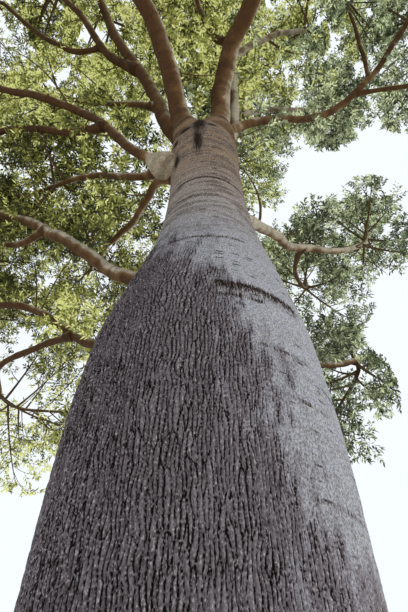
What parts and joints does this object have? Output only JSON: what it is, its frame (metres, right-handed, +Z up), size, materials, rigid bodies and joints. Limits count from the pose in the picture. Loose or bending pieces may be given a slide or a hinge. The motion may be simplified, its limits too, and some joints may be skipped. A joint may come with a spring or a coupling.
{
  "type": "queensland bottle tree",
  "caption": "Whole mature tree with a swollen bottle-shaped trunk, a narrow neck, spreading forked boughs and a rounded open crown of foliage masses.",
  "frame": {"origin": "middle of the flat cut under the trunk, at ground level", "axes": "+Z straight up the trunk; -Y towards the side that the picture looks from; +X to the right of that view"},
  "size_m": [11.8639, 11.2359, 12.9608],
  "materials": {
    "trunk_bark": "deeply fissured grey-brown bark, paler and smoother on one side and up the neck",
    "bough_bark": "smooth warm grey-brown bark with fine rings",
    "foliage": "thin leathery green leaves, matt to satin"
  },
  "bodies": {
    "root": {"bough_back": "bough_bark", "bough_back_left": "bough_bark", "bough_back_left_low": "bough_bark", "bough_back_right": "bough_bark", "bough_back_top": "bough_bark", "bough_front_left": "bough_bark", "bough_front_left_fork": "bough_bark", "bough_front_mid": "bough_bark", "bough_front_right": "bough_bark", "bough_front_right_fork": "bough_bark", "bough_front_top": "bough_bark", "bough_left_drop": "bough_bark", "bough_left_fork": "bough_bark", "bough_left_high": "bough_bark", "bough_left_level": "bough_bark", "bough_left_main": "bough_bark", "bough_left_mid": "bough_bark", "bough_left_rear": "bough_bark", "bough_left_upper": "bough_bark", "bough_rear_left": "bough_bark", "bough_rear_left_fork": "bough_bark", "bough_rear_right": "bough_bark", "bough_rear_right_fork": "bough_bark", "bough_right_fork": "bough_bark", "bough_right_main": "bough_bark", "bough_right_reach": "bough_bark", "bough_right_rear_high": "bough_bark", "bough_right_upper": "bough_bark", "bough_top_stem": "bough_bark", "foliage_back": "foliage", "foliage_back_left": "foliage", "foliage_back_left_low": "foliage", "foliage_back_right": "foliage", "foliage_back_top": "foliage", "foliage_front_left": "foliage", "foliage_front_left_fork": "foliage", "foliage_front_mid": "foliage", "foliage_front_right": "foliage", "foliage_front_right_fork": "foliage", "foliage_front_top": "foliage", "foliage_left_drop": "foliage", "foliage_left_fork": "foliage", "foliage_left_high": "foliage", "foliage_left_level": "foliage", "foliage_left_main": "foliage", "foliage_left_mid": "foliage", "foliage_left_rear": "foliage", "foliage_left_upper": "foliage", "foliage_rear_left": "foliage", "foliage_rear_left_fork": "foliage", "foliage_rear_right": "foliage", "foliage_rear_right_fork": "foliage", "foliage_right_fork": "foliage", "foliage_right_main": "foliage", "foliage_right_reach": "foliage", "foliage_right_rear_high": "foliage", "foliage_right_upper": "foliage", "foliage_top_stem": "foliage", "trunk": "trunk_bark"}
  },
  "joints": []
}
